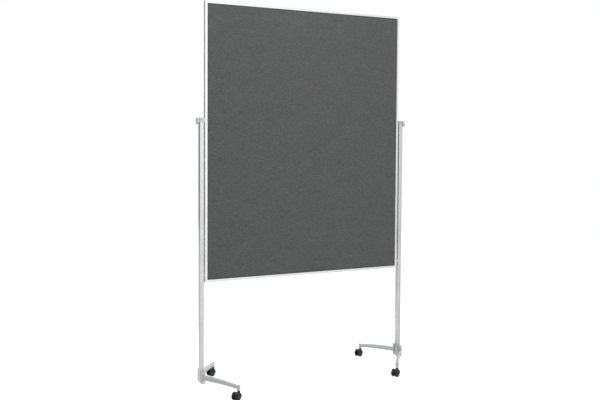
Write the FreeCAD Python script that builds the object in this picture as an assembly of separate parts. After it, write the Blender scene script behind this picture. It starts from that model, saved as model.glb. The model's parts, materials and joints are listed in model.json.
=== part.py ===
import FreeCAD, Part
import math
import os

# Rolling pin board and whiteboard: a mitred aluminium frame holds a felt face (front, -Y) and an
# enamelled steel writing sheet (rear, +Y) on a light core. Two side posts carry the frame at two
# points each: a knob-operated clamp at the post's head and a guide near the board's lower edge.
# Each post stands on two cast arms with twin-wheel swivel castors.
# Millimetres. +X to the right along the board, -Y to the front, +Z up. The origin is on the floor,
# midway between the posts, under the board's middle plane.

# ---------------------------------------------------------------- driving dimensions
# board
BOARD_WIDTH = 1200.0
BOARD_HEIGHT = 1500.0
BOARD_BOTTOM = 582.0
FRAME_DEPTH = 22.0
FRAME_FACE = 14.0
FRAME_EDGE_RADIUS = 3.0
CORE_THICKNESS = 12.0
CORE_EDGE_GAP = 0.5
FELT_THICKNESS = 2.0
SHEET_THICKNESS = 0.5
SLOT_DEPTH = 5.0
GROOVE_MOUTH_WIDTH = 8.0
GROOVE_LIP = 1.5
GROOVE_WIDTH = 13.0
GROOVE_DEPTH = 5.0
KEY_WIDTH = 7.6
KEY_THICKNESS = 2.0
KEY_LEG = 60.0
KEY_INSET = 3.7
KEY_PLAY = 0.1

# posts, their heads and foot caps
POST_GAP = 5.0
POST_WIDTH = 24.0
POST_DEPTH = 30.0
POST_WALL = 2.0
POST_RADIUS = 4.0
POST_BOTTOM = 46.0
POST_TOP = 1438.0
LINE_WIDTH = 2.4
LINE_DEPTH = 0.6
CAP_THICKNESS = 2.0
CAP_PLUG = 3.0
CAP_INSET = 0.2
CAP_PLAY = 0.1
HEAD_HEIGHT = 26.0
HEAD_TOP_RADIUS = 1.5
HEAD_BOARD_GAP = 0.4
SPIGOT_LENGTH = 26.0
SPIGOT_PLAY = 0.1
HEAD_SCREW_RADIUS = 1.75
HEAD_SCREW_LENGTH = 12.0
HEAD_SCREW_HEAD_RADIUS = 3.4
HEAD_SCREW_HEAD_HEIGHT = 2.2
CROSS_WIDTH = 0.8

# clamp: knob, stud, washer and T-nut
KNOB_ABOVE_POST = 8.0
STUD_RADIUS = 3.0
STUD_CHAMFER = 0.6
RUNNING_GAP = 0.08
KNOB_RADIUS = 18.0
KNOB_THICKNESS = 11.6
KNOB_FLUTES = 10
FLUTE_RADIUS = 3.2
FLUTE_OFFSET = 1.4
KNOB_RIM_RADIUS = 1.2
KNOB_WALL = 3.5
KNOB_HUB_RADIUS = 7.5
KNOB_HOLLOW_DEPTH = 3.0
KNOB_CAP_RADIUS = 9.9
KNOB_CAP_RIM = 0.5
KNOB_CAP_SINK = 0.3
CAP_RECESS_RADIUS = 10.0
CAP_RECESS_DEPTH = 1.6
STUD_COVER = 3.5
WASHER_RADIUS = 9.0
WASHER_THICKNESS = 1.5
WASHER_GAP = 0.4
T_NUT_HEIGHT = 28.0
T_PLAY = 0.3
T_FLOOR_GAP = 0.5
T_NECK_PROUD = 0.1
STUD_FLOOR_GAP = 0.2

# lower guide
GUIDE_ABOVE_EDGE = 41.5
GUIDE_HEIGHT = 11.0
GUIDE_DEPTH = 18.0
INSERT_RADIUS = 3.2
INSERT_LENGTH = 7.0
GUIDE_SCREW_RADIUS = 2.0
GUIDE_SCREW_HEAD_RADIUS = 3.6
GUIDE_SCREW_REACH = 6.0

# arms: vertical wing on the post, arched arm, boss for the castor's stem
STEM_X = 481.0
STEM_Y = 216.0
WING_WIDTH = 22.0
WING_LENGTH = 21.0
WING_BOTTOM = 44.0
WING_TOP = 110.0
WING_EDGE_RADIUS = 2.5
SCOOP_RADIUS = 16.0
SCOOP_DEPTH = 1.6
ARM_ROOT_TOP = 88.0
ARM_ROOT_BOTTOM = 62.0
ARM_TIP_TOP = 73.0
ARM_TIP_BOTTOM = 54.0
ARM_ARCH_TOP = 5.0
ARM_ARCH_BOTTOM = 3.0
ARM_ROOT_WIDTH = 20.0
ARM_TIP_WIDTH = 16.0
ARM_EDGE_RADIUS = 4.5
BOSS_RADIUS = 10.0
BOSS_BOTTOM = 52.0
BOSS_TOP = 75.0
BOSS_EDGE_RADIUS = 2.0
BOSS_ROOF = 3.0

# bolts and sleeve nuts through both wings
BOLT_INSET = 9.0
BOLT_RADIUS = 3.0
BOLT_POST_PLAY = 0.2
BOLT_END_GAP = 6.0
BOLT_HEAD_RADIUS = 5.5
BOLT_HEAD_CONE = 2.5
SLEEVE_RADIUS = 4.0
BOLT_SOCKET_DEPTH = 2.0
BOLT_SOCKET_ACROSS = 4.0

# castors
WHEEL_RADIUS = 20.0
WHEEL_WIDTH = 12.0
WHEEL_INNER_FACE = 6.4
WHEEL_EDGE_RADIUS = 2.5
DISH_OUTER_RADIUS = 15.0
DISH_INNER_RADIUS = 6.0
DISH_DEPTH = 1.4
TRAIL = 18.0
TRAIL_HEADING = 208.0
HOOD_HALF_WEB = 6.0
HOOD_INNER_RADIUS = 20.8
HOOD_THICKNESS = 2.0
HOOD_START_ANGLE = 50.0
HOOD_END_ANGLE = 190.0
HOOD_EDGE_RADIUS = 1.2
HOOD_WEB_INSET = 0.5
HOOD_HUB_RADIUS = 9.0
HOOD_POST_HALF = 7.0
HOOD_COLLAR_RADIUS = 8.5
HOOD_COLLAR_EDGE = 1.0
HOOD_TOP = 45.5
STEM_RADIUS = 4.0
STEM_FOOT = 24.0
STEM_FOOT_GAP = 0.5
STEM_BOSS_COVER = 1.0
STEM_COLLAR_ACROSS = 11.0
STEM_COLLAR_GAP = 0.3
AXLE_RADIUS = 3.0
AXLE_HALF = 16.0
AXLE_END_GAP = 0.3
FIT_GAP = 0.05

# brake lever of the front castors, and the tongue that carries it
LEVER_PIVOT_RADIUS = 15.0
LEVER_PIVOT_ANGLE = 36.0
LEVER_PIN_RADIUS = 1.5
LEVER_EYE_RADIUS = 4.2
CHEEK_INNER = 2.3
CHEEK_OUTER = 5.6
PAD_HALF_WIDTH = 11.0
PAD_EDGE_RADIUS = 1.0
TONGUE_HALF = 2.0
TONGUE_EYE_RADIUS = 3.2
TONGUE_RELIEF_RADIUS = 5.2

# ---------------------------------------------------------------- derived places
HALF_BOARD = BOARD_WIDTH / 2
BOARD_TOP = BOARD_BOTTOM + BOARD_HEIGHT
BOARD_MIDDLE = (BOARD_BOTTOM + BOARD_TOP) / 2
HALF_CORE = CORE_THICKNESS / 2
KEY_MIDDLE = (HALF_CORE + FRAME_DEPTH / 2) / 2
POST_INNER = HALF_BOARD + POST_GAP
POST_OUTER = POST_INNER + POST_WIDTH
POST_X = (POST_INNER + POST_OUTER) / 2
POST_REAR = POST_DEPTH / 2
HEAD_SCREW_Z = POST_TOP - SPIGOT_LENGTH / 2
KNOB_Z = POST_TOP + KNOB_ABOVE_POST
GUIDE_Z = BOARD_BOTTOM + GUIDE_ABOVE_EDGE
STUD_BORE = STUD_RADIUS + RUNNING_GAP
GROOVE_FLOOR = HALF_BOARD - GROOVE_LIP - GROOVE_DEPTH
T_HEAD_INNER = GROOVE_FLOOR + T_FLOOR_GAP
T_HEAD_OUTER = HALF_BOARD - GROOVE_LIP - T_PLAY
T_HEAD_HALF = GROOVE_WIDTH / 2 - T_PLAY
T_NECK_HALF = GROOVE_MOUTH_WIDTH / 2 - T_PLAY
HEAD_INNER = HALF_BOARD + HEAD_BOARD_GAP
WASHER_OUTER = POST_OUTER + WASHER_THICKNESS
KNOB_INNER = WASHER_OUTER + WASHER_GAP
KNOB_OUTER = KNOB_INNER + KNOB_THICKNESS
STUD_OUTER = KNOB_OUTER - STUD_COVER
WING_BACK = -POST_DEPTH / 2
WING_FRONT = WING_BACK - WING_LENGTH
BOLT_HEIGHTS = (WING_BOTTOM + BOLT_INSET, WING_TOP - BOLT_INSET)
CASTOR_HALF_WIDTH = WHEEL_INNER_FACE + WHEEL_WIDTH
HOOD_OUTER_RADIUS = HOOD_INNER_RADIUS + HOOD_THICKNESS
HOOD_CROWN = WHEEL_RADIUS + HOOD_INNER_RADIUS
SIDES = {"left": -1, "right": 1}
ENDS = {"front": -1, "rear": 1}

X_AXIS = FreeCAD.Vector(1, 0, 0)
Y_AXIS = FreeCAD.Vector(0, 1, 0)
Z_AXIS = FreeCAD.Vector(0, 0, 1)
ORIGIN = FreeCAD.Vector(0, 0, 0)
NEARLY = 1e-6


# ---------------------------------------------------------------- small helpers
def box(x_low, x_high, y_low, y_high, z_low, z_high):
    corner = FreeCAD.Vector(x_low, y_low, z_low)
    return Part.makeBox(x_high - x_low, y_high - y_low, z_high - z_low, corner)


def rod(radius, start, end):
    run = end - start
    return Part.makeCylinder(radius, run.Length, start, run)


def rod_x(radius, x_low, x_high, y, z):
    return rod(radius, FreeCAD.Vector(x_low, y, z), FreeCAD.Vector(x_high, y, z))


def rod_y(radius, y_low, y_high, x, z):
    return rod(radius, FreeCAD.Vector(x, y_low, z), FreeCAD.Vector(x, y_high, z))


def rod_z(radius, z_low, z_high, x, y):
    return rod(radius, FreeCAD.Vector(x, y, z_low), FreeCAD.Vector(x, y, z_high))


def face_of(corners):
    """Flat face inside a polygon of vectors."""
    return Part.Face(Part.makePolygon(corners + corners[:1]))


def prism_y(points, y_low, y_high):
    """Polygon of (x, z) points, extruded along Y."""
    outline = face_of([FreeCAD.Vector(x, y_low, z) for x, z in points])
    return outline.extrude(FreeCAD.Vector(0, y_high - y_low, 0))


def revolve_x(points):
    """Closed outline of (x, r) points, turned about the X axis."""
    return face_of([FreeCAD.Vector(x, r, 0) for x, r in points]).revolve(ORIGIN, X_AXIS, 360)


def hexagon(across, x=0.0, y=0.0):
    """Six (x, y) corners of a hexagon with the given width across its flats."""
    reach = across / math.sqrt(3)
    angles = [math.radians(60 * index) for index in range(6)]
    return [(x + reach * math.cos(angle), y + reach * math.sin(angle)) for angle in angles]


def edges_along(shape, direction, chosen=None):
    """Straight edges parallel to direction; chosen(middle) may narrow them down."""
    found = []
    for edge in shape.Edges:
        ends = edge.Vertexes
        if len(ends) != 2 or not isinstance(edge.Curve, Part.Line):
            continue
        run = ends[1].Point - ends[0].Point
        if run.cross(direction).Length > NEARLY * run.Length:
            continue
        if chosen is None or chosen((ends[0].Point + ends[1].Point) / 2):
            found.append(edge)
    return found


def round_edges(shape):
    """The shape's circular edges."""
    return [edge for edge in shape.Edges if isinstance(edge.Curve, Part.Circle)]


def moved(shape, x=0.0, y=0.0, z=0.0):
    copy = shape.copy()
    copy.translate(FreeCAD.Vector(x, y, z))
    return copy


def turned(shape, axis, degrees):
    copy = shape.copy()
    copy.rotate(ORIGIN, axis, degrees)
    return copy


def mirrored_x(shape):
    return shape.mirror(ORIGIN, X_AXIS)


def mirrored_y(shape):
    return shape.mirror(ORIGIN, Y_AXIS)


def on_side(shape, side):
    """A shape drawn for the right-hand side, as it is on the named side."""
    return mirrored_x(shape) if side == "left" else shape


def write(name, shape):
    os.makedirs("parts", exist_ok=True)
    shape.exportStep(f"parts/{name}.step")


def write_pair(name, right_shape):
    """One node on each side of the board, from the right-hand shape."""
    for side in SIDES:
        write(f"{name}_{side}", on_side(right_shape, side))


def write_group(name, shapes):
    """Identical pieces in one node."""
    write(name, Part.makeCompound(shapes))


def write_pair_group(name, right_shape):
    write_group(name, [on_side(right_shape, side) for side in SIDES])


# ---------------------------------------------------------------- board frame and panel
def key_layers():
    """Depth ranges of the rear and front corner keys, in the middle of each frame lip."""
    half = KEY_THICKNESS / 2
    return [(side * KEY_MIDDLE - half, side * KEY_MIDDLE + half) for side in (1, -1)]


def frame_member(length):
    """One mitred member, along X, with its outer face at z = 0 and its panel slot facing +Z."""
    half = length / 2
    depth = FRAME_DEPTH / 2
    body = box(-half, half, -depth, depth, 0, FRAME_FACE)
    outer = edges_along(body, X_AXIS, lambda middle: middle.z < NEARLY)
    body = body.makeFillet(FRAME_EDGE_RADIUS, outer)
    mouth = GROOVE_MOUTH_WIDTH / 2
    cavity = GROOVE_WIDTH / 2
    body = body.cut(box(-half, half, -mouth, mouth, 0, GROOVE_LIP))
    body = body.cut(box(-half, half, -cavity, cavity, GROOVE_LIP, GROOVE_LIP + GROOVE_DEPTH))
    body = body.cut(box(-half, half, -HALF_CORE, HALF_CORE, FRAME_FACE - SLOT_DEPTH, FRAME_FACE))
    low = KEY_INSET - KEY_PLAY
    high = KEY_INSET + KEY_WIDTH + KEY_PLAY
    for y_low, y_high in key_layers():
        body = body.cut(box(-half, half, y_low - KEY_PLAY, y_high + KEY_PLAY, low, high))
    short = half - FRAME_FACE
    mitre = [(-half, 0), (half, 0), (short, FRAME_FACE), (-short, FRAME_FACE)]
    return body.common(prism_y(mitre, -depth, depth))


def make_frame():
    tall = frame_member(BOARD_HEIGHT)
    wide = frame_member(BOARD_WIDTH)
    write("frame_bottom", moved(wide, z=BOARD_BOTTOM))
    write("frame_top", moved(turned(wide, Y_AXIS, 180), z=BOARD_TOP))
    write("frame_left", moved(turned(tall, Y_AXIS, 90), x=-HALF_BOARD, z=BOARD_MIDDLE))
    write("frame_right", moved(turned(tall, Y_AXIS, -90), x=HALF_BOARD, z=BOARD_MIDDLE))


def make_corner_keys():
    near, far, end = KEY_INSET, KEY_INSET + KEY_WIDTH, KEY_INSET + KEY_LEG
    bend = [(near, near), (end, near), (end, far), (far, far), (far, end), (near, end)]
    keys = []
    for x_sign in (-1, 1):
        for z_sign in (-1, 1):
            corner_z = BOARD_MIDDLE + z_sign * BOARD_HEIGHT / 2
            points = [(x_sign * (HALF_BOARD - u), corner_z - z_sign * v) for u, v in bend]
            keys += [prism_y(points, y_low, y_high) for y_low, y_high in key_layers()]
    write_group("corner_keys", keys)


def panel_layer(inset, y_low, y_high):
    half = HALF_BOARD - inset
    return box(-half, half, y_low, y_high, BOARD_BOTTOM + inset, BOARD_TOP - inset)


def make_panel():
    core_inset = FRAME_FACE - SLOT_DEPTH + CORE_EDGE_GAP
    write("panel_core", panel_layer(core_inset, -HALF_CORE, HALF_CORE))
    write("felt_face", panel_layer(FRAME_FACE, -HALF_CORE - FELT_THICKNESS, -HALF_CORE))
    write("writing_sheet", panel_layer(FRAME_FACE, HALF_CORE, HALF_CORE + SHEET_THICKNESS))


# ---------------------------------------------------------------- posts
def post_section(inset, z_low, z_high):
    """The post's outline, drawn in by inset, as a solid between two heights."""
    half_depth = POST_REAR - inset
    block = box(POST_INNER + inset, POST_OUTER - inset, -half_depth, half_depth, z_low, z_high)
    return block.makeFillet(POST_RADIUS - inset, edges_along(block, Z_AXIS))


def post_lines():
    """Shallow lines down the middle of the post's front and rear faces."""
    half = LINE_WIDTH / 2
    rear = box(POST_X - half, POST_X + half, POST_REAR - LINE_DEPTH, POST_REAR, POST_BOTTOM, POST_TOP)
    return [rear, mirrored_y(rear)]


def make_posts():
    post = post_section(0, POST_BOTTOM, POST_TOP)
    post = post.cut(post_section(POST_WALL, POST_BOTTOM, POST_TOP))
    post = post.cut(post_lines())
    for height in BOLT_HEIGHTS:
        hole = rod_y(BOLT_RADIUS + BOLT_POST_PLAY, -POST_REAR, POST_REAR, POST_X, height)
        post = post.cut(hole)
    post = post.cut(rod_x(INSERT_RADIUS, POST_INNER, POST_INNER + POST_WALL, 0, GUIDE_Z))
    post = post.cut(rod_y(HEAD_SCREW_RADIUS, 0, POST_REAR, POST_X, HEAD_SCREW_Z))
    write_pair("post", post)


def make_foot_caps():
    cap = post_section(CAP_INSET, POST_BOTTOM - CAP_THICKNESS, POST_BOTTOM)
    plug = post_section(POST_WALL + CAP_PLAY, POST_BOTTOM, POST_BOTTOM + CAP_PLUG)
    write_pair_group("post_foot_caps", cap.fuse(plug))


def make_post_heads():
    head_top = POST_TOP + HEAD_HEIGHT
    head = box(HEAD_INNER, POST_OUTER, -POST_REAR, POST_REAR, POST_TOP, head_top)
    outer = edges_along(head, Z_AXIS, lambda middle: middle.x > POST_X)
    head = head.makeFillet(POST_RADIUS, outer)
    rim = [edge for edge in head.Edges if abs(edge.CenterOfMass.z - head_top) < NEARLY]
    head = head.makeFillet(HEAD_TOP_RADIUS, rim)
    head = head.fuse(post_section(POST_WALL + SPIGOT_PLAY, POST_TOP - SPIGOT_LENGTH, POST_TOP))
    head = head.cut(rod_x(STUD_BORE, HEAD_INNER, POST_OUTER, 0, KNOB_Z))
    head = head.cut(rod_y(HEAD_SCREW_RADIUS, 0, POST_REAR, POST_X, HEAD_SCREW_Z))
    write_pair("post_head", head)


def make_head_screws():
    """Pan-head screws with a cross recess, through each post's rear face into its head."""
    shank, head, height = HEAD_SCREW_RADIUS, HEAD_SCREW_HEAD_RADIUS, HEAD_SCREW_HEAD_HEIGHT
    outline = [(-HEAD_SCREW_LENGTH, 0), (-HEAD_SCREW_LENGTH, shank), (0, shank), (0, head)]
    outline += [(0.6 * height, head), (height, 0.6 * head), (height, 0)]
    slot_half, slot_floor = 0.45 * head, 0.55 * height
    blade = box(slot_floor, height, -slot_half, slot_half, -CROSS_WIDTH / 2, CROSS_WIDTH / 2)
    screw = revolve_x(outline).cut([blade, turned(blade, X_AXIS, 90)])
    screw = moved(turned(screw, Z_AXIS, 90), POST_X, POST_REAR, HEAD_SCREW_Z)
    write_pair_group("head_screws", screw)


# ---------------------------------------------------------------- clamp
def t_slider(height, z):
    """Block in the side frame's groove: wide head behind the groove's lips, neck in its mouth."""
    low, high = z - height / 2, z + height / 2
    head = box(T_HEAD_INNER, T_HEAD_OUTER, -T_HEAD_HALF, T_HEAD_HALF, low, high)
    neck_end = HALF_BOARD + T_NECK_PROUD
    return head.fuse(box(T_HEAD_OUTER, neck_end, -T_NECK_HALF, T_NECK_HALF, low, high))


def make_t_nuts():
    nut = t_slider(T_NUT_HEIGHT, KNOB_Z)
    nut = nut.cut(rod_x(STUD_BORE, T_HEAD_INNER, HEAD_INNER, 0, KNOB_Z))
    write_pair("t_nut", nut.removeSplitter())


def make_washers():
    washer = rod_x(WASHER_RADIUS, POST_OUTER, WASHER_OUTER, 0, KNOB_Z)
    washer = washer.cut(rod_x(STUD_BORE, POST_OUTER, WASHER_OUTER, 0, KNOB_Z))
    write_pair_group("clamp_washers", washer)


def make_studs():
    stud = rod_x(STUD_RADIUS, T_HEAD_INNER + STUD_FLOOR_GAP, STUD_OUTER, 0, KNOB_Z)
    write_pair("clamp_stud", stud.makeChamfer(STUD_CHAMFER, round_edges(stud)))


def make_knobs():
    """Fluted grip with a hub on the washer's side and a recess for the cap on the outside."""
    grip = rod_x(KNOB_RADIUS, KNOB_INNER, KNOB_OUTER, 0, KNOB_Z)
    flute_circle = KNOB_RADIUS + FLUTE_OFFSET
    for index in range(KNOB_FLUTES):
        angle = 2 * math.pi * (index + 0.5) / KNOB_FLUTES
        y = flute_circle * math.cos(angle)
        z = KNOB_Z + flute_circle * math.sin(angle)
        grip = grip.cut(rod_x(FLUTE_RADIUS, KNOB_INNER, KNOB_OUTER, y, z))
    rims = [edge for edge in grip.Edges if abs(edge.CenterOfMass.x - KNOB_OUTER) < NEARLY]
    grip = grip.makeFillet(KNOB_RIM_RADIUS, rims)
    hollow_end = KNOB_INNER + KNOB_HOLLOW_DEPTH
    hollow = rod_x(KNOB_RADIUS - KNOB_WALL, KNOB_INNER, hollow_end, 0, KNOB_Z)
    grip = grip.cut(hollow.cut(rod_x(KNOB_HUB_RADIUS, KNOB_INNER, hollow_end, 0, KNOB_Z)))
    grip = grip.cut(rod_x(STUD_RADIUS, KNOB_INNER, STUD_OUTER, 0, KNOB_Z))
    recess_floor = KNOB_OUTER - CAP_RECESS_DEPTH
    grip = grip.cut(rod_x(CAP_RECESS_RADIUS, recess_floor, KNOB_OUTER, 0, KNOB_Z))
    write_pair("knob", grip)
    cap_face = KNOB_OUTER - KNOB_CAP_SINK
    cap = rod_x(KNOB_CAP_RADIUS, recess_floor, cap_face, 0, KNOB_Z)
    rim = [edge for edge in cap.Edges if abs(edge.CenterOfMass.x - cap_face) < NEARLY]
    write_pair("knob_cap", cap.makeFillet(KNOB_CAP_RIM, rim))


# ---------------------------------------------------------------- lower guide
def guide_screw():
    """Countersunk screw from the groove side into the post's insert."""
    cone = T_HEAD_INNER + GUIDE_SCREW_HEAD_RADIUS - GUIDE_SCREW_RADIUS
    end = POST_INNER + GUIDE_SCREW_REACH
    outline = [(T_HEAD_INNER, 0), (T_HEAD_INNER, GUIDE_SCREW_HEAD_RADIUS)]
    outline += [(cone, GUIDE_SCREW_RADIUS), (end, GUIDE_SCREW_RADIUS), (end, 0)]
    return moved(revolve_x(outline), z=GUIDE_Z)


def make_lower_guides():
    half_depth = GUIDE_DEPTH / 2
    low, high = GUIDE_Z - GUIDE_HEIGHT / 2, GUIDE_Z + GUIDE_HEIGHT / 2
    block = box(HEAD_INNER, POST_INNER, -half_depth, half_depth, low, high)
    bridge = box(HALF_BOARD, HEAD_INNER, -T_NECK_HALF, T_NECK_HALF, low, high)
    guide = block.fuse([bridge, t_slider(GUIDE_HEIGHT, GUIDE_Z)]).removeSplitter()
    screw = guide_screw()
    write_pair("lower_guide", guide.cut(screw))
    write_pair_group("guide_screws", screw)
    insert = rod_x(INSERT_RADIUS, POST_INNER, POST_INNER + INSERT_LENGTH, 0, GUIDE_Z)
    write_pair_group("guide_inserts", insert.cut(screw))


# ---------------------------------------------------------------- arms
def arm_side(length):
    """The arm's side view, from its root at x = 0, as a face in the XZ plane."""
    root_top = FreeCAD.Vector(0, 0, ARM_ROOT_TOP)
    tip_top = FreeCAD.Vector(length, 0, ARM_TIP_TOP)
    tip_bottom = FreeCAD.Vector(length, 0, ARM_TIP_BOTTOM)
    root_bottom = FreeCAD.Vector(0, 0, ARM_ROOT_BOTTOM)
    crown = (root_top + tip_top) / 2 + Z_AXIS * ARM_ARCH_TOP
    soffit = (root_bottom + tip_bottom) / 2 + Z_AXIS * ARM_ARCH_BOTTOM
    top = Part.Arc(root_top, crown, tip_top).toShape()
    bottom = Part.Arc(tip_bottom, soffit, root_bottom).toShape()
    end = Part.makeLine(tip_top, tip_bottom)
    start = Part.makeLine(root_bottom, root_top)
    return Part.Face(Part.Wire([top, end, bottom, start]))


def arm_beam():
    """The arched arm, drawn along X from its root, then turned towards the stem (right, front)."""
    root = FreeCAD.Vector(POST_X, (WING_FRONT + WING_BACK) / 2, 0)
    run = FreeCAD.Vector(STEM_X, -STEM_Y, 0) - root
    length = run.Length
    wide, slim = ARM_ROOT_WIDTH / 2, ARM_TIP_WIDTH / 2
    slab = moved(arm_side(length), y=-wide).extrude(Y_AXIS * ARM_ROOT_WIDTH)
    plan = [(0, -wide), (length, -slim), (length, slim), (0, wide)]
    plan_face = face_of([FreeCAD.Vector(x, y, 0) for x, y in plan])
    beam = slab.common(plan_face.extrude(Z_AXIS * WING_TOP))
    long_edges = [edge for edge in beam.Edges if edge.Length > length * 0.9]
    beam = beam.makeFillet(ARM_EDGE_RADIUS, long_edges)
    return moved(turned(beam, Z_AXIS, math.degrees(math.atan2(run.y, run.x))), root.x, root.y)


def arm_wing():
    """Tall flange that bolts to the post's front face; its outer side is scooped."""
    half = WING_WIDTH / 2
    wing = box(POST_X - half, POST_X + half, WING_FRONT, WING_BACK, WING_BOTTOM, WING_TOP)
    scoop_x = POST_X + half + SCOOP_RADIUS - SCOOP_DEPTH
    scoop_y = (WING_FRONT + WING_BACK) / 2
    wing = wing.cut(rod_z(SCOOP_RADIUS, WING_BOTTOM, WING_TOP, scoop_x, scoop_y))
    uprights = edges_along(wing, Z_AXIS, lambda middle: middle.y < WING_FRONT + NEARLY)
    return wing.makeFillet(WING_EDGE_RADIUS, uprights)


def countersink(height):
    """Cone of a flush bolt head in the front wing's face."""
    seat = FreeCAD.Vector(POST_X, WING_FRONT, height)
    small = BOLT_HEAD_RADIUS - BOLT_HEAD_CONE
    return Part.makeCone(BOLT_HEAD_RADIUS, small, BOLT_HEAD_CONE, seat, Y_AXIS)


def arm():
    """Right front arm: wing, beam and boss in one casting, with its bolt and stem holes."""
    boss = rod_z(BOSS_RADIUS, BOSS_BOTTOM, BOSS_TOP, STEM_X, -STEM_Y)
    rim = [edge for edge in round_edges(boss) if edge.CenterOfMass.z > BOSS_TOP - NEARLY]
    boss = boss.makeFillet(BOSS_EDGE_RADIUS, rim)
    body = arm_wing().fuse([arm_beam(), boss]).removeSplitter()
    body = body.cut(rod_z(STEM_RADIUS, BOSS_BOTTOM, BOSS_TOP - BOSS_ROOF, STEM_X, -STEM_Y))
    for height in BOLT_HEIGHTS:
        hole = rod_y(SLEEVE_RADIUS, WING_FRONT, WING_BACK, POST_X, height)
        body = body.cut([hole, countersink(height)])
    return body


def make_arms():
    front_right = arm()
    write_pair("arm_front", front_right)
    write_pair("arm_rear", mirrored_y(front_right))


def make_foot_bolts():
    """Flush bolts from the front and sleeve nuts from the rear hold both wings on each post."""
    bolts, nuts = [], []
    for height in BOLT_HEIGHTS:
        head = countersink(height)
        collar = rod_y(SLEEVE_RADIUS, WING_FRONT, WING_BACK, POST_X, height)
        shank = rod_y(BOLT_RADIUS, WING_FRONT, -WING_FRONT - BOLT_END_GAP, POST_X, height)
        socket = hexagon(BOLT_SOCKET_ACROSS, POST_X, height)
        recess = prism_y(socket, WING_FRONT, WING_FRONT + BOLT_SOCKET_DEPTH)
        bolt = head.fuse([collar, shank]).cut(recess)
        sleeve = mirrored_y(head.fuse(collar)).cut([shank, mirrored_y(recess)])
        bolts += [on_side(bolt, side) for side in SIDES]
        nuts += [on_side(sleeve, side) for side in SIDES]
    write_group("foot_bolts", bolts)
    write_group("foot_sleeve_nuts", nuts)


# ---------------------------------------------------------------- castors
# A castor is drawn with its swivel axis on Z, trailing towards +X and its axle along Y,
# then turned to TRAIL_HEADING and carried to its stem.
def polar(radius, angle_degrees):
    """Point around the axle, in the castor's own X and Z."""
    angle = math.radians(angle_degrees)
    return TRAIL + radius * math.cos(angle), WHEEL_RADIUS + radius * math.sin(angle)


def around_axle(radius, y_low, y_high):
    return rod_y(radius, y_low, y_high, TRAIL, WHEEL_RADIUS)


def sector(radius, start_angle, end_angle, half_width):
    """Pie slice around the axle, extruded across the castor."""
    angles = (start_angle, (start_angle + end_angle) / 2, end_angle)
    points = [polar(radius, angle) for angle in angles]
    start, middle, end = [FreeCAD.Vector(x, -half_width, z) for x, z in points]
    centre = FreeCAD.Vector(TRAIL, -half_width, WHEEL_RADIUS)
    rim = Part.Arc(start, middle, end).toShape()
    sides = [Part.makeLine(centre, start), rim, Part.makeLine(end, centre)]
    return Part.Face(Part.Wire(sides)).extrude(Y_AXIS * 2 * half_width)


def castor_hood():
    """Web between the wheels with its axle hub and stem socket, and a shell over both wheels."""
    shell = sector(HOOD_OUTER_RADIUS, HOOD_START_ANGLE, HOOD_END_ANGLE, CASTOR_HALF_WIDTH)
    shell = shell.makeFillet(HOOD_EDGE_RADIUS, round_edges(shell))
    shell = shell.cut(around_axle(HOOD_INNER_RADIUS, -CASTOR_HALF_WIDTH, CASTOR_HALF_WIDTH))
    web_radius = HOOD_OUTER_RADIUS - HOOD_WEB_INSET
    web = sector(web_radius, HOOD_START_ANGLE, HOOD_END_ANGLE, HOOD_HALF_WEB)
    hub = around_axle(HOOD_HUB_RADIUS, -HOOD_HALF_WEB, HOOD_HALF_WEB)
    half = HOOD_POST_HALF
    socket = box(-half, half, -HOOD_HALF_WEB, HOOD_HALF_WEB, WHEEL_RADIUS, HOOD_CROWN)
    collar = rod_z(HOOD_COLLAR_RADIUS, HOOD_CROWN, HOOD_TOP, 0, 0)
    rim = [edge for edge in collar.Edges if edge.CenterOfMass.z > HOOD_TOP - NEARLY]
    collar = collar.makeFillet(HOOD_COLLAR_EDGE, rim)
    hood = web.fuse([shell, hub, socket, collar]).removeSplitter()
    hood = hood.cut(rod_z(STEM_RADIUS + FIT_GAP, STEM_FOOT - STEM_FOOT_GAP, HOOD_TOP, 0, 0))
    return hood.cut(around_axle(AXLE_RADIUS, -HOOD_HALF_WEB, HOOD_HALF_WEB))


def lever_tongue():
    """Tongue on the hood's web that carries the brake lever's pin."""
    x, z = polar(LEVER_PIVOT_RADIUS, LEVER_PIVOT_ANGLE)
    eye = rod_y(TONGUE_EYE_RADIUS, -TONGUE_HALF, TONGUE_HALF, x, z)
    root_low, root_high = polar(7, 20), polar(17, HOOD_START_ANGLE + 8)
    neck = [root_low, (x, z - TONGUE_EYE_RADIUS), (x + 2.6, z + 1.8), root_high]
    return eye.fuse(prism_y(neck, -TONGUE_HALF, TONGUE_HALF))


def castor_brake_hood():
    """Hood of a lockable castor: the plain hood, cut back beside the lever's tongue."""
    x, z = polar(LEVER_PIVOT_RADIUS, LEVER_PIVOT_ANGLE)
    relief = rod_y(TONGUE_RELIEF_RADIUS, TONGUE_HALF, HOOD_HALF_WEB, x, z)
    hood = castor_hood().cut([relief, mirrored_y(relief)])
    hood = hood.fuse(lever_tongue()).removeSplitter()
    hood = hood.cut(rod_y(LEVER_PIN_RADIUS, -TONGUE_HALF, TONGUE_HALF, x, z))
    return hood.cut(around_axle(AXLE_RADIUS, -HOOD_HALF_WEB, HOOD_HALF_WEB))


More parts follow.
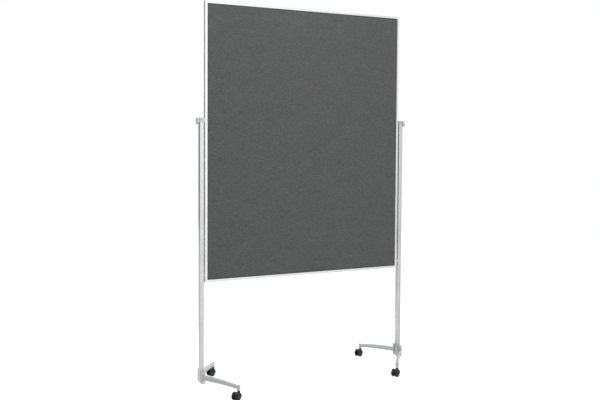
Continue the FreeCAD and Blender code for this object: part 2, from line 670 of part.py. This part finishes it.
def brake_lever():
    """Two cheeks on the pin, joined outside the wheels by a wide foot pad."""
    x, z = polar(LEVER_PIVOT_RADIUS, LEVER_PIVOT_ANGLE)
    cheek_points = [polar(12.5, 24), polar(27, 18), polar(27, 34), polar(17.5, 46)]
    cheek = prism_y(cheek_points, CHEEK_INNER, CHEEK_OUTER)
    cheek = cheek.fuse(rod_y(LEVER_EYE_RADIUS, CHEEK_INNER, CHEEK_OUTER, x, z))
    pad_points = [polar(22.6, 18), polar(28.5, 15), polar(28.5, 36), polar(22.6, 38)]
    pad = prism_y(pad_points, -PAD_HALF_WIDTH, PAD_HALF_WIDTH)
    pad = pad.makeFillet(PAD_EDGE_RADIUS, edges_along(pad, Y_AXIS))
    lever = pad.fuse([cheek, mirrored_y(cheek)]).removeSplitter()
    return lever.cut(rod_y(LEVER_PIN_RADIUS + FIT_GAP, -CHEEK_OUTER, CHEEK_OUTER, x, z))


def lever_pin():
    x, z = polar(LEVER_PIVOT_RADIUS, LEVER_PIVOT_ANGLE)
    return rod_y(LEVER_PIN_RADIUS, -CHEEK_OUTER, CHEEK_OUTER, x, z)


def castor_wheel():
    """Wheel on the +Y side of the web: rounded tread, dished outer face, blind bore."""
    wheel = around_axle(WHEEL_RADIUS, WHEEL_INNER_FACE, CASTOR_HALF_WIDTH)
    wheel = wheel.makeFillet(WHEEL_EDGE_RADIUS, round_edges(wheel))
    dish_floor = CASTOR_HALF_WIDTH - DISH_DEPTH
    dish = around_axle(DISH_OUTER_RADIUS, dish_floor, CASTOR_HALF_WIDTH)
    wheel = wheel.cut(dish.cut(around_axle(DISH_INNER_RADIUS, dish_floor, CASTOR_HALF_WIDTH)))
    bore = around_axle(AXLE_RADIUS + FIT_GAP, WHEEL_INNER_FACE, AXLE_HALF + AXLE_END_GAP)
    return wheel.cut(bore)


def castor_axle():
    return around_axle(AXLE_RADIUS, -AXLE_HALF, AXLE_HALF)


def castor_stem():
    """Swivel pin below, hexagonal collar between hood and boss, threaded end in the boss."""
    collar_low = HOOD_TOP + STEM_COLLAR_GAP
    corners = [FreeCAD.Vector(x, y, collar_low) for x, y in hexagon(STEM_COLLAR_ACROSS)]
    collar = face_of(corners).extrude(Z_AXIS * (BOSS_BOTTOM - collar_low))
    stem_top = BOSS_TOP - BOSS_ROOF - STEM_BOSS_COVER
    return collar.fuse(rod_z(STEM_RADIUS, STEM_FOOT, stem_top, 0, 0)).removeSplitter()


def make_castors():
    wheel = castor_wheel()
    common = {"axle": castor_axle(), "stem": castor_stem()}
    common |= {"wheel_a": wheel, "wheel_b": mirrored_y(wheel)}
    plain = {"hood": castor_hood()}
    braked = {"hood": castor_brake_hood(), "brake_lever": brake_lever(), "brake_pin": lever_pin()}
    for end, y_sign in ENDS.items():
        pieces = common | (braked if end == "front" else plain)
        for side, x_sign in SIDES.items():
            for piece, drawn in pieces.items():
                shape = turned(drawn, Z_AXIS, TRAIL_HEADING)
                shape = moved(shape, x_sign * STEM_X, y_sign * STEM_Y)
                write(f"castor_{end}_{side}_{piece}", shape)


make_frame()
make_corner_keys()
make_panel()
make_posts()
make_foot_caps()
make_post_heads()
make_head_screws()
make_t_nuts()
make_washers()
make_studs()
make_knobs()
make_lower_guides()
make_arms()
make_foot_bolts()
make_castors()
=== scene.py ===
import json
import math

import bmesh
import bpy
from mathutils import Matrix, Vector, noise


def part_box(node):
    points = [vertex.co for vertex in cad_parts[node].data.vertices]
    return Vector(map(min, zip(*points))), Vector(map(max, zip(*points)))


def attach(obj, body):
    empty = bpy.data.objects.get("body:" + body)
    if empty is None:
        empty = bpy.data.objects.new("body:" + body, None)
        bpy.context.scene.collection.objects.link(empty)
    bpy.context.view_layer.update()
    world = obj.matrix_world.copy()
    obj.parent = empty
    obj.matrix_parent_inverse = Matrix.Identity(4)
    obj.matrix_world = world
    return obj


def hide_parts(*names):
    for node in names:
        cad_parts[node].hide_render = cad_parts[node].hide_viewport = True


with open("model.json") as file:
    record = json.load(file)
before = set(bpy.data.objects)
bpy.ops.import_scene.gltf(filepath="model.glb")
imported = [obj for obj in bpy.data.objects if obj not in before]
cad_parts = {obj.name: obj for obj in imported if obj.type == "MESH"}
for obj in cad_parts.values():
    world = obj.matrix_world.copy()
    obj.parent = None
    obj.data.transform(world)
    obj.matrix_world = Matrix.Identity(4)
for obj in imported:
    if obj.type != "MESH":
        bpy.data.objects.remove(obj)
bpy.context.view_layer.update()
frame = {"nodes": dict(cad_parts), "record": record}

# Rolling pin board with a felt front and a white enamelled rear, in metres.
# +X is to the right along the board, -Y to the front and +Z up.

# ---------------------------------------------------------------- camera
CAMERA_PLACE = Vector((-1.774, -3.790, 1.3585))
CAMERA_YAW = math.radians(24.592)
CAMERA_PITCH = math.radians(-2.421)
CAMERA_ROLL = math.radians(0.335)
CAMERA_LENS = 44.36
CAMERA_SENSOR = 36
CAMERA_SHIFT_UP = -0.0512


def make_camera():
    """Camera with its yaw measured from +Y towards +X."""
    across = math.cos(CAMERA_PITCH)
    forward = Vector(
        (math.sin(CAMERA_YAW) * across, math.cos(CAMERA_YAW) * across, math.sin(CAMERA_PITCH))
    )
    level = Vector((math.cos(CAMERA_YAW), -math.sin(CAMERA_YAW), 0))
    turned = Matrix.Rotation(CAMERA_ROLL, 3, -forward)
    right, up = turned @ level, turned @ level.cross(forward)
    data = bpy.data.cameras.new("photo_camera")
    data.lens = CAMERA_LENS
    data.sensor_width = CAMERA_SENSOR
    data.shift_y = CAMERA_SHIFT_UP
    camera = bpy.data.objects.new("photo_camera", data)
    axes = Matrix((right, up, -forward)).transposed()
    camera.matrix_world = Matrix.Translation(CAMERA_PLACE) @ axes.to_4x4()
    bpy.context.scene.collection.objects.link(camera)
    bpy.context.scene.camera = camera


# ---------------------------------------------------------------- material kit
def map_range_sockets(start, end, low, high):
    return {"From Min": start, "From Max": end, "To Min": low, "To Max": high}


class Shader:
    """A Principled material with helpers that add nodes and link them."""

    def __init__(self, name, sockets=None):
        self.material = bpy.data.materials.new(name)
        self.material.use_nodes = True
        self.tree = self.material.node_tree
        self.surface = self.tree.nodes["Principled BSDF"]
        self.place = self.add("ShaderNodeTexCoord").outputs["Object"]
        for socket, value in (sockets or {}).items():
            self.surface.inputs[socket].default_value = value

    def add(self, kind, inputs=None, **settings):
        """A node with its settings; inputs holds a value or an output for each socket."""
        node = self.tree.nodes.new(kind)
        for setting, value in settings.items():
            setattr(node, setting, value)
        for socket, value in (inputs or {}).items():
            if isinstance(value, bpy.types.NodeSocket):
                self.tree.links.new(value, node.inputs[socket])
            else:
                node.inputs[socket].default_value = value
        return node

    def link(self, socket, output):
        self.tree.links.new(output, self.surface.inputs[socket])

    def stretched(self, scale, turn=(0, 0, 0)):
        """Object coordinates turned by Euler angles, then multiplied along each axis."""
        turned = self.add("ShaderNodeMapping", {"Vector": self.place, "Rotation": turn})
        sockets = {"Vector": turned.outputs["Vector"], "Scale": scale}
        return self.add("ShaderNodeMapping", sockets).outputs["Vector"]

    def noise(self, scale, detail=3.0, place=None, roughness=0.5):
        """Noise from 0 to 1 with scale features to the metre, or to the unit of place."""
        sockets = {"Vector": place or self.place, "Scale": scale}
        sockets.update({"Detail": detail, "Roughness": roughness})
        return self.add("ShaderNodeTexNoise", sockets).outputs["Fac"]

    def span(self, value, low, high, start=0.3, end=0.7):
        """value from start to end, as a number from low to high."""
        sockets = {"Value": value, **map_range_sockets(start, end, low, high)}
        return self.add("ShaderNodeMapRange", sockets).outputs["Result"]

    def maths(self, operation, first, second=0.0):
        return self.add("ShaderNodeMath", {0: first, 1: second}, operation=operation).outputs[0]

    def vector(self, operation, inputs):
        """The outputs of a vector maths node."""
        return self.add("ShaderNodeVectorMath", inputs, operation=operation).outputs

    def total(self, *values):
        result = values[0]
        for value in values[1:]:
            result = self.maths("ADD", result, value)
        return result

    def mix(self, factor, first, second):
        sockets = {"Factor": factor, 6: first, 7: second}
        return self.add("ShaderNodeMix", sockets, data_type="RGBA").outputs[2]

    def bump(self, height, distance, under=None):
        """Normal for height (0 to 1) times distance in metres, on top of under."""
        sockets = {"Height": height, "Distance": distance}
        if under is not None:
            sockets["Normal"] = under
        return self.add("ShaderNodeBump", sockets).outputs["Normal"]


def grey(level, blue=0.0):
    """A linear grey, a little cooler where blue is above 0."""
    return (level * (1 - blue), level, level * (1 + blue), 1)


# ---------------------------------------------------------------- metals
def extrusion(name, along, level, roughness):
    """Satin anodised aluminium with drawing lines that run along one axis."""
    look = Shader(name, {"Metallic": 1.0})
    lines = look.noise(1, 4, look.stretched([1.5 if axis == along else 620 for axis in "xyz"]))
    streaks = look.noise(1, 3, look.stretched([2.5 if axis == along else 95 for axis in "xyz"]))
    blotches = look.noise(9, 4)
    smudges = look.noise(46, 6, roughness=0.6)
    scratches = look.noise(1, 2, look.stretched((900, 60, 9), (0.5, 0.9, 0.4)))
    fine, broad = look.span(lines, -0.03, 0.03), look.span(streaks, -0.02, 0.02)
    tone = look.total(fine, broad, look.span(blotches, 0, 1))
    look.link("Base Color", look.mix(tone, grey(level * 0.95, 0.006), grey(level * 1.04, 0.002)))
    drawn = look.span(lines, -0.04, 0.04)
    worn = look.total(drawn, look.span(blotches, roughness - 0.03, roughness + 0.03))
    smudged = look.span(smudges, 0, 0.09, 0.56, 0.74)
    rubbed = look.total(smudged, look.span(scratches, 0, -0.08, 0.72, 0.8))
    look.link("Roughness", look.total(worn, rubbed))
    deep = look.bump(scratches, 0.00001)
    look.link("Normal", look.bump(lines, 0.00002, deep))
    return look.material


def silver_casting(name, level):
    """Die casting under silver paint: orange peel, fine flake and rubbed, darker patches."""
    look = Shader(name, {"Metallic": 0.85, "Coat Weight": 0.1, "Coat Roughness": 0.3})
    peel = look.noise(520, 3)
    flake = look.noise(4200, 1)
    patches = look.noise(38, 5)
    handled = look.noise(130, 6, roughness=0.65)
    tone = look.total(look.span(patches, 0.1, 0.7), look.span(flake, -0.25, 0.25))
    look.link("Base Color", look.mix(tone, grey(level * 0.9, 0.004), grey(level * 1.08, 0.008)))
    rubbed = look.span(handled, 0, 0.12, 0.55, 0.75)
    painted = look.span(patches, 0.31, 0.4)
    look.link("Roughness", look.total(painted, look.span(flake, -0.03, 0.03), rubbed))
    look.link("Normal", look.bump(flake, 0.000006, look.bump(peel, 0.00006)))
    return look.material


def turned_steel(name, level, roughness):
    """Plated steel: tool marks, clouded plating and a few dull specks."""
    look = Shader(name, {"Metallic": 1.0})
    marks = look.noise(1, 4, look.stretched((1400, 1400, 9000)))
    cloud = look.noise(260, 4)
    specks = look.noise(1500, 2)
    tone = look.total(look.span(cloud, 0, 0.8), look.span(marks, 0, 0.2))
    look.link("Base Color", look.mix(tone, grey(level * 0.86, 0.01), grey(level * 1.06)))
    dull = look.span(specks, 0, 0.2, 0.62, 0.75)
    look.link("Roughness", look.total(look.span(marks, roughness - 0.06, roughness + 0.06), dull))
    look.link("Normal", look.bump(marks, 0.000012))
    return look.material


# ---------------------------------------------------------------- plastics and boards
def moulding(name, level, roughness, dust):
    """Moulded plastic: fine grain, faint flow marks, and scuffs that show paler."""
    look = Shader(name, {"Specular IOR Level": 0.35})
    flow = look.noise(1, 3, look.stretched((70, 45, 120), (0.3, 0.5, 0)))
    grain = look.noise(2300, 2)
    scuffs = look.noise(210, 6, roughness=0.68)
    tone = look.mix(look.span(flow, 0, 1), grey(level * 0.86, 0.015), grey(level * 1.14, 0.01))
    look.link("Base Color", look.mix(look.span(scuffs, 0, dust, 0.5, 0.75), tone, grey(0.3, -0.02)))
    moulded = look.span(flow, roughness - 0.05, roughness + 0.05)
    worn = look.total(moulded, look.span(scuffs, 0, 0.12, 0.5, 0.7))
    look.link("Roughness", look.total(worn, look.span(grain, -0.03, 0.03)))
    look.link("Normal", look.bump(grain, 0.00003, look.bump(flow, 0.0001)))
    return look.material


WHEEL_TURN = math.radians(208)
WHEEL_RADIUS = 0.02
TREAD_FROM, TREAD_TO = WHEEL_RADIUS * 0.86, WHEEL_RADIUS * 0.99
DISC_FROM, DISC_TO = WHEEL_RADIUS * 0.66, WHEEL_RADIUS * 0.74
RING_FREQUENCY = 9000


def wheel_plastic(node):
    """Black wheel with a dull, dusty tread, turned side rings and a paler hub disc."""
    low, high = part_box(node)
    heading = Vector((math.sin(WHEEL_TURN), -math.cos(WHEEL_TURN), 0))
    look = Shader(f"wheel_plastic_{node}", {"Specular IOR Level": 0.2})
    from_hub = look.vector("SUBTRACT", {0: look.place, 1: (low + high) / 2})[0]
    across = look.vector("DOT_PRODUCT", {0: from_hub, 1: heading})["Value"]
    axial = look.vector("SCALE", {0: heading, "Scale": across})[0]
    radial = look.vector("SUBTRACT", {0: from_hub, 1: axial})[0]
    radius = look.vector("LENGTH", {0: radial})["Value"]
    tread = look.span(radius, 0, 1, TREAD_FROM, TREAD_TO)
    rings = look.maths("SINE", look.maths("MULTIPLY", radius, RING_FREQUENCY))
    dirt = look.noise(320, 6, roughness=0.65)
    grain = look.noise(2100, 2)
    dusty = look.maths("MULTIPLY", tread, look.span(dirt, 0, 0.12, 0.4, 0.7))
    tone = look.mix(look.span(dirt, 0, 1), grey(0.006, 0.02), grey(0.012, 0.01))
    disc = look.span(radius, 1, 0, DISC_FROM, DISC_TO)
    faced = look.mix(look.maths("MULTIPLY", disc, look.span(dirt, 0.7, 1)), tone, grey(0.036, 0.01))
    look.link("Base Color", look.mix(dusty, faced, grey(0.2, -0.06)))
    sides = look.total(look.span(dirt, 0.3, 0.42), look.span(rings, -0.02, 0.02, -1, 1))
    look.link("Roughness", look.total(sides, look.maths("MULTIPLY", tread, 0.25)))
    look.link("Normal", look.bump(grain, 0.00003, look.bump(rings, 0.000004)))
    return look.material


def fibre_board():
    """Pressed fibre core, seen only as its cut edges."""
    look = Shader("core_board")
    fibres = look.noise(1, 5, look.stretched((160, 900, 160)))
    clumps = look.noise(24, 4)
    tone = look.total(look.span(fibres, 0, 0.7), look.span(clumps, 0, 0.3))
    look.link("Base Color", look.mix(tone, (0.30, 0.21, 0.13, 1), (0.56, 0.44, 0.31, 1)))
    look.link("Roughness", look.span(fibres, 0.78, 0.92))
    look.link("Normal", look.bump(fibres, 0.0002))
    return look.material


def white_enamel():
    """Glossy white enamel with orange peel, wiped haze and a faint trace of old marks."""
    look = Shader("white_enamel", {"Coat Weight": 0.35, "Coat Roughness": 0.06})
    peel = look.noise(240, 2)
    wiped = look.noise(1, 5, look.stretched((2.2, 1, 11), (0, 0.35, 0)), 0.6)
    clouds = look.noise(4, 3)
    ghosts = look.noise(1, 4, look.stretched((7, 1, 24), (0, -0.2, 0)))
    tone = look.total(look.span(clouds, 0, 0.5), look.span(ghosts, 0.5, 0, 0.55, 0.72))
    look.link("Base Color", look.mix(tone, grey(0.79, 0.006), grey(0.86, 0.002)))
    haze = look.span(wiped, 0.12, 0.26)
    look.link("Roughness", look.total(haze, look.span(ghosts, 0, 0.05, 0.55, 0.7)))
    look.link("Normal", look.bump(peel, 0.00004))
    return look.material


# ---------------------------------------------------------------- felt
FELT_STEP = 0.008
FELT_TUCK = 0.004
FELT_TUCK_DEPTH = 0.0009
FELT_WAVE = 0.00012
FELT_WAVES_PER_METRE = 9
FELT_WAVE_FADE = 0.05
FELT_LEVEL = 0.060
# Each layer's turn about Y, then its fibres' features per metre along and across.
FELT_FIBRES = ((0.35, 380, 2600), (1.4, 300, 2200), (2.4, 450, 3100))


def felt_shader():
    """Pressed wool felt: short crossing fibres in mixed greys, soft clumps and cloudy tone."""
    sheen = {"Sheen Weight": 0.22, "Sheen Roughness": 0.55}
    look = Shader("felt", {**sheen, "Specular IOR Level": 0.2})
    layers = []
    for turn, short, slim in FELT_FIBRES:
        layers.append(look.noise(1, 2, look.stretched((short, 900, slim), (0, turn, 0)), 0.55))
    upper = look.maths("MAXIMUM", layers[0], layers[1])
    fibres = look.maths("MAXIMUM", upper, layers[2])
    pale = look.span(layers[1], 0, 1, 0.62, 0.74)
    clumps = look.noise(1, 4, look.stretched((70, 90, 150)), 0.6)
    clouds = look.noise(11, 6, roughness=0.62)
    tints = look.noise(17, 5, roughness=0.6)
    hairy, lumpy = look.span(fibres, 0, 0.4, 0.45, 0.75), look.span(clumps, 0, 0.4, 0.36, 0.64)
    body = look.total(hairy, lumpy, look.span(clouds, 0, 0.2))
    wool = look.mix(body, grey(FELT_LEVEL * 0.55, 0.004), grey(FELT_LEVEL * 1.48, -0.002))
    dye = (FELT_LEVEL * 0.97, FELT_LEVEL * 1.1, FELT_LEVEL * 1.02, 1)
    tinted = look.mix(look.span(tints, 0, 0.5), wool, dye)
    flecks = look.maths("MULTIPLY", pale, 0.5)
    look.link("Base Color", look.mix(flecks, tinted, grey(FELT_LEVEL * 2.4, -0.01)))
    look.link("Roughness", look.span(clumps, 0.88, 0.98))
    look.link("Normal", look.bump(fibres, 0.00022, look.bump(clumps, 0.0003)))
    return look.material


def make_felt():
    """Stretched felt slab in the space of its CAD solid, its rim pulled back under the frame."""
    low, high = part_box("felt_face")
    size = high - low
    columns, rows = round(size.x / FELT_STEP), round(size.z / FELT_STEP)
    built = bmesh.new()
    sheets = []
    for is_front in (True, False):
        sheet = []
        for row in range(rows + 1):
            line = []
            for column in range(columns + 1):
                across, up = column / columns * size.x, row / rows * size.z
                to_rim = min(across, size.x - across, up, size.z - up)
                tuck = max(0.0, 1 - to_rim / FELT_TUCK) ** 2 * FELT_TUCK_DEPTH
                ripple = Vector((across * FELT_WAVES_PER_METRE, 0, up * FELT_WAVES_PER_METRE))
                wave = FELT_WAVE * (1 + noise.noise(ripple)) * min(1, to_rim / FELT_WAVE_FADE)
                y = low.y + tuck + wave if is_front else high.y
                line.append(built.verts.new((low.x + across, y, low.z + up)))
            sheet.append(line)
        sheets.append(sheet)
        for row in range(rows):
            for column in range(columns):
                lower, upper = sheet[row], sheet[row + 1]
                corners = [lower[column], lower[column + 1], upper[column + 1], upper[column]]
                built.faces.new(corners if is_front else corners[::-1])
    front, back = sheets
    for row in range(rows):
        for side, flip in ((0, False), (-1, True)):
            rim = [front[row][side], front[row + 1][side], back[row + 1][side], back[row][side]]
            built.faces.new(rim[::-1] if flip else rim)
    for column in range(columns):
        for side, flip in ((0, True), (-1, False)):
            near, far = front[side], back[side]
            rim = [near[column], near[column + 1], far[column + 1], far[column]]
            built.faces.new(rim[::-1] if flip else rim)
    mesh = bpy.data.meshes.new("felt_cloth")
    built.to_mesh(mesh)
    built.free()
    mesh.shade_smooth()
    felt = bpy.data.objects.new("felt_cloth", mesh)
    bpy.context.scene.collection.objects.link(felt)
    mesh.materials.append(felt_shader())
    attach(felt, "board")
    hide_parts("felt_face")


# ---------------------------------------------------------------- finishes of the CAD nodes
def give_finishes():
    """One procedural material for each slot of the record, and one for each wheel."""
    finishes = {
        "post_aluminium": extrusion("post_aluminium", "z", 0.66, 0.29),
        "cast_silver": silver_casting("cast_silver", 0.50),
        "key_zinc": turned_steel("key_zinc", 0.62, 0.42),
        "core_board": fibre_board(),
        "white_enamel": white_enamel(),
        "grey_plastic": moulding("grey_plastic", 0.44, 0.46, 0.25),
        "cap_plastic": moulding("cap_plastic", 0.52, 0.36, 0.2),
        "guide_metal": extrusion("guide_metal", "x", 0.84, 0.3),
        "bright_steel": turned_steel("bright_steel", 0.68, 0.24),
        "castor_plastic": moulding("castor_plastic", 0.012, 0.24, 0.08),
    }
    upright = extrusion("frame_aluminium_upright", "z", 0.82, 0.34)
    level = extrusion("frame_aluminium_level", "x", 0.82, 0.34)
    for row in frame["record"]["subparts"]:
        node, slot = row["node"], row["material_slot"]
        if slot == "frame_aluminium":
            finish = upright if node in ("frame_left", "frame_right") else level
        elif slot == "wheel_plastic":
            finish = wheel_plastic(node)
        elif slot == "felt":
            continue
        else:
            finish = finishes[slot]
        materials = frame["nodes"][node].data.materials
        materials.clear()
        materials.append(finish)


# ---------------------------------------------------------------- stage
FLOOR_GLOW = 0.62
FLOOR_RADIUS = 7.0
FLOOR_SIDES = 96
# Each lobe: towards, then the cosines where it starts and is full, then its strengths there.
WORLD_LOBES = (
    # front: the even light of the room, brightest straight ahead
    ((0.08, -1.0, 0.1), 0.84, 0.985, 0.72, 1.45),
    # behind: darker
    ((-0.05, 1.0, -0.05), 0.87, 0.98, 0.0, -0.66),
    # right and behind: brighter
    ((0.9, 0.5, 0.15), 0.6, 1.0, 0.0, 0.9),
    # above: brighter
    ((0.0, 0.0, 1.0), 0.3, 0.9, 0.0, 0.55),
    # left: darker
    ((-1.0, 0.2, -0.15), 0.7, 0.98, 0.0, -0.45),
    # left and in front: a little brighter
    ((-0.85, -0.5, 0.0), 0.75, 1.0, 0.0, 0.3),
)
# Each light: name, place, aim, width in metres and watts.
SOFT_LIGHTS = (
    ("overhead", (-0.3, -1.2, 3.2), (0, 0, 1.7), 1.4, 25),
    ("floor_wash", (-0.3, -3.0, 2.2), (-0.1, -2.6, 0), 2.4, 48),
    ("floor_between_feet", (-0.05, 0.75, 0.5), (-0.05, 0.7, 0), 1.0, 4),
)


def make_floor():
    """Pale floor that looks lighter to the camera than it lights the object."""
    mesh = bpy.data.meshes.new("studio_floor")
    built = bmesh.new()
    bmesh.ops.create_circle(built, cap_ends=True, segments=FLOOR_SIDES, radius=FLOOR_RADIUS)
    built.to_mesh(mesh)
    built.free()
    floor = bpy.data.objects.new("studio_floor", mesh)
    bpy.context.scene.collection.objects.link(floor)
    look = Shader("pale_floor", {"Roughness": 0.75, "Emission Color": grey(1.0)})
    look.link("Base Color", look.mix(look.span(look.noise(0.6), 0, 1), grey(0.54), grey(0.57)))
    seen = look.add("ShaderNodeLightPath").outputs["Is Camera Ray"]
    look.link("Emission Strength", look.maths("MULTIPLY", seen, FLOOR_GLOW))
    mesh.materials.append(look.material)


def make_world():
    """Surroundings that are the sum of the lobes to the object and plain white to the camera."""
    world = bpy.data.worlds.new("studio")
    world.use_nodes = True
    bpy.context.scene.world = world
    nodes, links = world.node_tree.nodes, world.node_tree.links
    place = nodes.new("ShaderNodeTexCoord")
    glow = None
    for towards, start, end, low, high in WORLD_LOBES:
        lobe = nodes.new("ShaderNodeVectorMath")
        lobe.operation = "DOT_PRODUCT"
        lobe.inputs[1].default_value = Vector(towards).normalized()
        links.new(place.outputs["Generated"], lobe.inputs[0])
        ramp = nodes.new("ShaderNodeMapRange")
        ramp.interpolation_type = "SMOOTHSTEP"
        for socket, value in map_range_sockets(start, end, low, high).items():
            ramp.inputs[socket].default_value = value
        links.new(lobe.outputs["Value"], ramp.inputs["Value"])
        if glow is None:
            glow = ramp.outputs["Result"]
        else:
            both = nodes.new("ShaderNodeMath")
            links.new(glow, both.inputs[0])
            links.new(ramp.outputs["Result"], both.inputs[1])
            glow = both.outputs[0]
    ray = nodes.new("ShaderNodeLightPath")
    seen = nodes.new("ShaderNodeMix")
    links.new(ray.outputs["Is Camera Ray"], seen.inputs["Factor"])
    links.new(glow, seen.inputs["A"])
    seen.inputs["B"].default_value = 1.0
    links.new(seen.outputs["Result"], nodes["Background"].inputs["Strength"])
    nodes["Background"].inputs["Color"].default_value = grey(1.0)


def soft_light(name, place, aim, size, watts):
    """Round area light that lights the object without showing in its gloss."""
    data = bpy.data.lights.new(name, "AREA")
    data.shape = "DISK"
    data.size = size
    data.energy = watts
    light = bpy.data.objects.new(name, data)
    light.location = place
    light.rotation_mode = "QUATERNION"
    light.rotation_quaternion = (Vector(aim) - Vector(place)).to_track_quat("-Z", "Y")
    light.visible_glossy = False
    bpy.context.scene.collection.objects.link(light)


def make_studio():
    bpy.context.scene.view_settings.view_transform = "Standard"
    make_floor()
    make_world()
    for light in SOFT_LIGHTS:
        soft_light(*light)


make_camera()
give_finishes()
make_felt()
make_studio()
